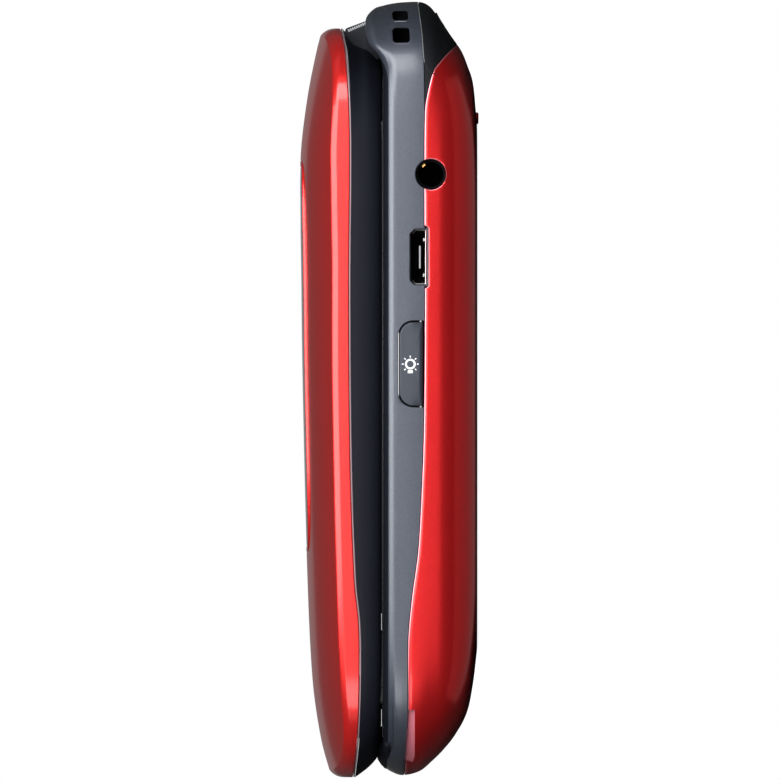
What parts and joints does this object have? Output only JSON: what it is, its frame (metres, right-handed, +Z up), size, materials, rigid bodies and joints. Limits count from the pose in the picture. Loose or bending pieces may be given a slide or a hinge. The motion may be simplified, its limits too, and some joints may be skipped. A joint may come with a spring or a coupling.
{
  "type": "flip phone",
  "caption": "Clamshell phone, closed at rest: domed lid with outer window, barrel hinge at one end, keypad under the lid, lift-off battery cover and side sockets.",
  "frame": {"origin": "centre of the closed phone's footprint, on the surface that it lies on", "axes": "+Z up through the closed lid, +Y towards the hinge end, +X towards the side with the sockets"},
  "size_m": [0.0552, 0.11, 0.0253],
  "materials": {
    "red_lacquer": "satin metallic red lacquer",
    "red_lacquer_back": "satin metallic red lacquer",
    "grey_flake_paint": "satin grey paint with fine metallic flake",
    "black_plastic": "satin black",
    "dark_window": "polished dark window",
    "display_panel": "unlit display",
    "bright_trim": "satin bright trim",
    "circuit_board": "solder mask green",
    "steel": "plain",
    "rubber": "matt black",
    "flex_film": "amber polyimide film",
    "battery_case": "plain wrap",
    "gold_contact": "gold plated",
    "speaker_black": "plain",
    "led_white": "phosphor",
    "clear_lens": "clear",
    "green_key": "satin green",
    "red_key": "satin red",
    "key_plastic": "satin dark grey",
    "side_key_plastic": "satin dark grey"
  },
  "bodies": {
    "base": {"front_housing": "grey_flake_paint", "keypad_fascia": "black_plastic", "keypad_membrane": "flex_film", "main_circuit_board": "circuit_board", "shield_cans": "steel", "rear_housing": "black_plastic", "antenna_cover": "black_plastic", "battery": "battery_case", "battery_contacts": "gold_contact", "sim_holder": "steel", "micro_usb_port": "steel", "headphone_jack": "black_plastic", "loudspeaker": "speaker_black", "speaker_mesh": "steel", "vibration_motor": "steel", "microphone": "steel", "antenna": "gold_contact", "torch_led": "led_white", "torch_lens": "clear_lens", "hinge_brackets": "steel", "hinge_pins": "steel", "base_screws": "steel"},
    "lid": {"lid_cover": "red_lacquer", "lid_frame": "black_plastic", "outer_display_bezel": "red_lacquer", "outer_display_lens": "dark_window", "outer_display_module": "display_panel", "camera_module": "black_plastic", "camera_ring": "bright_trim", "lid_circuit_board": "circuit_board", "main_display_module": "display_panel", "main_display_lens": "dark_window", "earpiece_speaker": "black_plastic", "earpiece_mesh": "steel", "lid_bumpers": "rubber", "lid_screws": "steel", "lid_screw_plugs": "rubber", "hinge_cartridge": "steel", "display_flex_cable": "flex_film"},
    "battery_cover": {"battery_cover": "red_lacquer_back"},
    "key_1": {"key_1": "key_plastic"},
    "key_2": {"key_2": "key_plastic"},
    "key_3": {"key_3": "key_plastic"},
    "key_4": {"key_4": "key_plastic"},
    "key_5": {"key_5": "key_plastic"},
    "key_6": {"key_6": "key_plastic"},
    "key_7": {"key_7": "key_plastic"},
    "key_8": {"key_8": "key_plastic"},
    "key_9": {"key_9": "key_plastic"},
    "key_star": {"key_star": "key_plastic"},
    "key_0": {"key_0": "key_plastic"},
    "key_hash": {"key_hash": "key_plastic"},
    "call_key": {"call_key": "green_key"},
    "end_key": {"end_key": "red_key"},
    "soft_key_left": {"soft_key_left": "key_plastic"},
    "soft_key_right": {"soft_key_right": "key_plastic"},
    "navigation_ring": {"navigation_ring": "bright_trim"},
    "ok_key": {"ok_key": "key_plastic"},
    "torch_key": {"torch_key": "side_key_plastic"},
    "volume_key": {"volume_key": "side_key_plastic"}
  },
  "joints": [
    {"name": "lid_hinge", "type": "hinge", "parent": "base", "child": "lid", "pos_m": [0, 0.051, 0.0125], "axis": [-1, 0, 0], "range_deg": [0, 155]},
    {"name": "battery_cover_off", "type": "slide", "parent": "base", "child": "battery_cover", "axis": [0, 0, -1], "range_m": [0, 0.02]},
    {"name": "key_1_press", "type": "slide", "parent": "base", "child": "key_1", "axis": [0, 0, -1], "range_m": [0, 0.0004], "stiffness_N_per_m": 300},
    {"name": "key_2_press", "type": "slide", "parent": "base", "child": "key_2", "axis": [0, 0, -1], "range_m": [0, 0.0004], "stiffness_N_per_m": 300},
    {"name": "key_3_press", "type": "slide", "parent": "base", "child": "key_3", "axis": [0, 0, -1], "range_m": [0, 0.0004], "stiffness_N_per_m": 300},
    {"name": "key_4_press", "type": "slide", "parent": "base", "child": "key_4", "axis": [0, 0, -1], "range_m": [0, 0.0004], "stiffness_N_per_m": 300},
    {"name": "key_5_press", "type": "slide", "parent": "base", "child": "key_5", "axis": [0, 0, -1], "range_m": [0, 0.0004], "stiffness_N_per_m": 300},
    {"name": "key_6_press", "type": "slide", "parent": "base", "child": "key_6", "axis": [0, 0, -1], "range_m": [0, 0.0004], "stiffness_N_per_m": 300},
    {"name": "key_7_press", "type": "slide", "parent": "base", "child": "key_7", "axis": [0, 0, -1], "range_m": [0, 0.0004], "stiffness_N_per_m": 300},
    {"name": "key_8_press", "type": "slide", "parent": "base", "child": "key_8", "axis": [0, 0, -1], "range_m": [0, 0.0004], "stiffness_N_per_m": 300},
    {"name": "key_9_press", "type": "slide", "parent": "base", "child": "key_9", "axis": [0, 0, -1], "range_m": [0, 0.0004], "stiffness_N_per_m": 300},
    {"name": "key_star_press", "type": "slide", "parent": "base", "child": "key_star", "axis": [0, 0, -1], "range_m": [0, 0.0004], "stiffness_N_per_m": 300},
    {"name": "key_0_press", "type": "slide", "parent": "base", "child": "key_0", "axis": [0, 0, -1], "range_m": [0, 0.0004], "stiffness_N_per_m": 300},
    {"name": "key_hash_press", "type": "slide", "parent": "base", "child": "key_hash", "axis": [0, 0, -1], "range_m": [0, 0.0004], "stiffness_N_per_m": 300},
    {"name": "call_key_press", "type": "slide", "parent": "base", "child": "call_key", "axis": [0, 0, -1], "range_m": [0, 0.0004], "stiffness_N_per_m": 300},
    {"name": "end_key_press", "type": "slide", "parent": "base", "child": "end_key", "axis": [0, 0, -1], "range_m": [0, 0.0004], "stiffness_N_per_m": 300},
    {"name": "soft_key_left_press", "type": "slide", "parent": "base", "child": "soft_key_left", "axis": [0, 0, -1], "range_m": [0, 0.0004], "stiffness_N_per_m": 300},
    {"name": "soft_key_right_press", "type": "slide", "parent": "base", "child": "soft_key_right", "axis": [0, 0, -1], "range_m": [0, 0.0004], "stiffness_N_per_m": 300},
    {"name": "navigation_ring_press", "type": "slide", "parent": "base", "child": "navigation_ring", "axis": [0, 0, -1], "range_m": [0, 0.0004], "stiffness_N_per_m": 300},
    {"name": "ok_key_press", "type": "slide", "parent": "base", "child": "ok_key", "axis": [0, 0, -1], "range_m": [0, 0.0004], "stiffness_N_per_m": 300},
    {"name": "torch_key_press", "type": "slide", "parent": "base", "child": "torch_key", "axis": [-1, 0, 0], "range_m": [0, 0.0004], "stiffness_N_per_m": 400},
    {"name": "volume_key_rock", "type": "hinge", "parent": "base", "child": "volume_key", "pos_m": [-0.0255, 0.0035, 0.0098], "axis": [0, 0, 1], "range_deg": [-1.5, 1.5], "stiffness_Nm_per_rad": 0.05}
  ]
}
